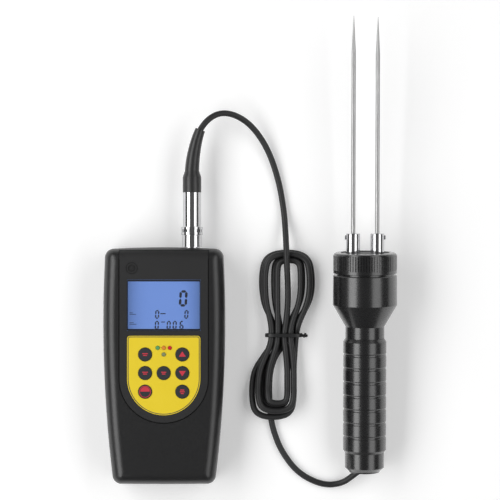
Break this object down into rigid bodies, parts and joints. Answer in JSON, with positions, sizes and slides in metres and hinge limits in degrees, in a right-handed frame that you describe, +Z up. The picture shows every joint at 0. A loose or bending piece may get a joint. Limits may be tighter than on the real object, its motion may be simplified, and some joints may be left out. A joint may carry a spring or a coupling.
{
  "type": "soil moisture meter",
  "caption": "Handheld soil moisture meter with a lit screen and keypad, plugged by a tied lead to a black handle with long steel soil pins.",
  "frame": {"origin": "centre of the reader's back face, on the table", "axes": "+Z up out of the screen, +Y along the reader towards the connector and along the probe towards the pin tips, +X from the reader to the probe"},
  "size_m": [0.2019, 0.3252, 0.0463],
  "materials": {
    "case_plastic": "fine satin texture",
    "panel_plastic": "fine satin texture",
    "label_film": "printed yellow film",
    "key_rubber": "matt",
    "screen": "lit blue display",
    "clear_window": "clear",
    "bezel_plastic": "dark",
    "green_lens": "lens",
    "amber_lens": "lens",
    "red_lens": "lens",
    "grey_lens": "lens",
    "board": "glass-fibre board",
    "components": "moulded",
    "silicone": "matt",
    "cell_jacket": "printed sleeve",
    "spring_steel": "plain",
    "screw_steel": "blackened",
    "chrome": "polished",
    "pin_steel": "ground",
    "brass": "turned",
    "insulator": "moulded",
    "boot_rubber": "matt",
    "lead_jacket": "satin",
    "tie_plastic": "film over wire",
    "handle_plastic": "satin black",
    "copper_wire": "insulated wire"
  },
  "bodies": {
    "meter": {"front_shell": "case_plastic", "rear_shell": "case_plastic", "front_panel": "panel_plastic", "keypad_overlay": "label_film", "lcd_bezel": "bezel_plastic", "lcd_window": "clear_window", "lcd_module": "screen", "led_green": "green_lens", "led_amber": "amber_lens", "led_red": "red_lens", "light_sensor": "grey_lens", "key_domes": "silicone", "sounder_plug": "panel_plastic", "main_board": "board", "board_components": "components", "board_screws": "screw_steel", "case_screws": "screw_steel", "buzzer": "components", "inner_wires": "copper_wire", "battery_cells": "cell_jacket", "battery_springs": "spring_steel", "battery_contacts": "spring_steel", "socket_shell": "chrome", "socket_insert": "insulator", "socket_nut": "brass"},
    "battery_door": {"battery_door": "case_plastic"},
    "probe_and_lead": {"plug_barrel": "chrome", "plug_insert": "insulator", "boot": "boot_rubber", "lead_upper": "lead_jacket", "lead_hank": "lead_jacket", "lead_lower": "lead_jacket", "twist_tie": "tie_plastic", "head_body": "handle_plastic", "electrode_plate": "insulator", "left_stem": "chrome", "right_stem": "chrome", "stem_nuts": "brass", "handle_wires": "copper_wire", "grip_sleeve": "handle_plastic", "tail_cap": "handle_plastic"},
    "coupling_ring": {"coupling_ring": "chrome"},
    "cap_ring": {"cap_ring": "handle_plastic"},
    "left_pin": {"left_pin": "pin_steel"},
    "right_pin": {"right_pin": "pin_steel"},
    "left_set_screw": {"left_set_screw": "screw_steel"},
    "right_set_screw": {"right_set_screw": "screw_steel"},
    "key_left_top": {"key_left_top": "key_rubber"},
    "key_right_top": {"key_right_top": "key_rubber"},
    "key_left_middle": {"key_left_middle": "key_rubber"},
    "key_centre": {"key_centre": "key_rubber"},
    "key_right_middle": {"key_right_middle": "key_rubber"},
    "key_left_bottom": {"key_left_bottom": "key_rubber"},
    "key_right_bottom": {"key_right_bottom": "key_rubber"}
  },
  "joints": [
    {"name": "key_left_top_press", "type": "slide", "parent": "meter", "child": "key_left_top", "axis": [0, 0, -1], "range_m": [0, 0.0008], "stiffness_N_per_m": 500, "springref_m": -0.0004, "deforming": ["key_domes"]},
    {"name": "key_right_top_press", "type": "slide", "parent": "meter", "child": "key_right_top", "axis": [0, 0, -1], "range_m": [0, 0.0008], "stiffness_N_per_m": 500, "springref_m": -0.0004, "deforming": ["key_domes"]},
    {"name": "key_left_middle_press", "type": "slide", "parent": "meter", "child": "key_left_middle", "axis": [0, 0, -1], "range_m": [0, 0.0008], "stiffness_N_per_m": 500, "springref_m": -0.0004, "deforming": ["key_domes"]},
    {"name": "key_centre_press", "type": "slide", "parent": "meter", "child": "key_centre", "axis": [0, 0, -1], "range_m": [0, 0.0008], "stiffness_N_per_m": 500, "springref_m": -0.0004, "deforming": ["key_domes"]},
    {"name": "key_right_middle_press", "type": "slide", "parent": "meter", "child": "key_right_middle", "axis": [0, 0, -1], "range_m": [0, 0.0008], "stiffness_N_per_m": 500, "springref_m": -0.0004, "deforming": ["key_domes"]},
    {"name": "key_left_bottom_press", "type": "slide", "parent": "meter", "child": "key_left_bottom", "axis": [0, 0, -1], "range_m": [0, 0.0008], "stiffness_N_per_m": 500, "springref_m": -0.0004, "deforming": ["key_domes"]},
    {"name": "key_right_bottom_press", "type": "slide", "parent": "meter", "child": "key_right_bottom", "axis": [0, 0, -1], "range_m": [0, 0.0008], "stiffness_N_per_m": 500, "springref_m": -0.0004, "deforming": ["key_domes"]},
    {"name": "battery_door_slide", "type": "slide", "parent": "meter", "child": "battery_door", "axis": [0, -1, 0], "range_m": [0, 0.05]},
    {"name": "plug_pull", "type": "slide", "parent": "meter", "child": "probe_and_lead", "axis": [0, 1, 0], "range_m": [0, 0.015]},
    {"name": "coupling_ring_turn", "type": "hinge", "parent": "probe_and_lead", "child": "coupling_ring", "pos_m": [0.0189, 0.0925, 0.016], "axis": [0, 1, 0], "continuous": true},
    {"name": "cap_ring_turn", "type": "hinge", "parent": "probe_and_lead", "child": "cap_ring", "pos_m": [0.1379, 0.07051, 0.02418], "axis": [0, 0.9974, 0.0726], "continuous": true},
    {"name": "left_pin_pull", "type": "slide", "parent": "probe_and_lead", "child": "left_pin", "axis": [0, 0.9974, 0.0726], "range_m": [0, 0.0105]},
    {"name": "left_set_screw_turn", "type": "hinge", "parent": "probe_and_lead", "child": "left_set_screw", "pos_m": [0.1259, 0.08797, 0.02545], "axis": [-1, 0, 0], "range_deg": [-360, 0]},
    {"name": "right_pin_pull", "type": "slide", "parent": "probe_and_lead", "child": "right_pin", "axis": [0, 0.9974, 0.0726], "range_m": [0, 0.0105]},
    {"name": "right_set_screw_turn", "type": "hinge", "parent": "probe_and_lead", "child": "right_set_screw", "pos_m": [0.1499, 0.08797, 0.02545], "axis": [1, 0, 0], "range_deg": [-360, 0]}
  ]
}
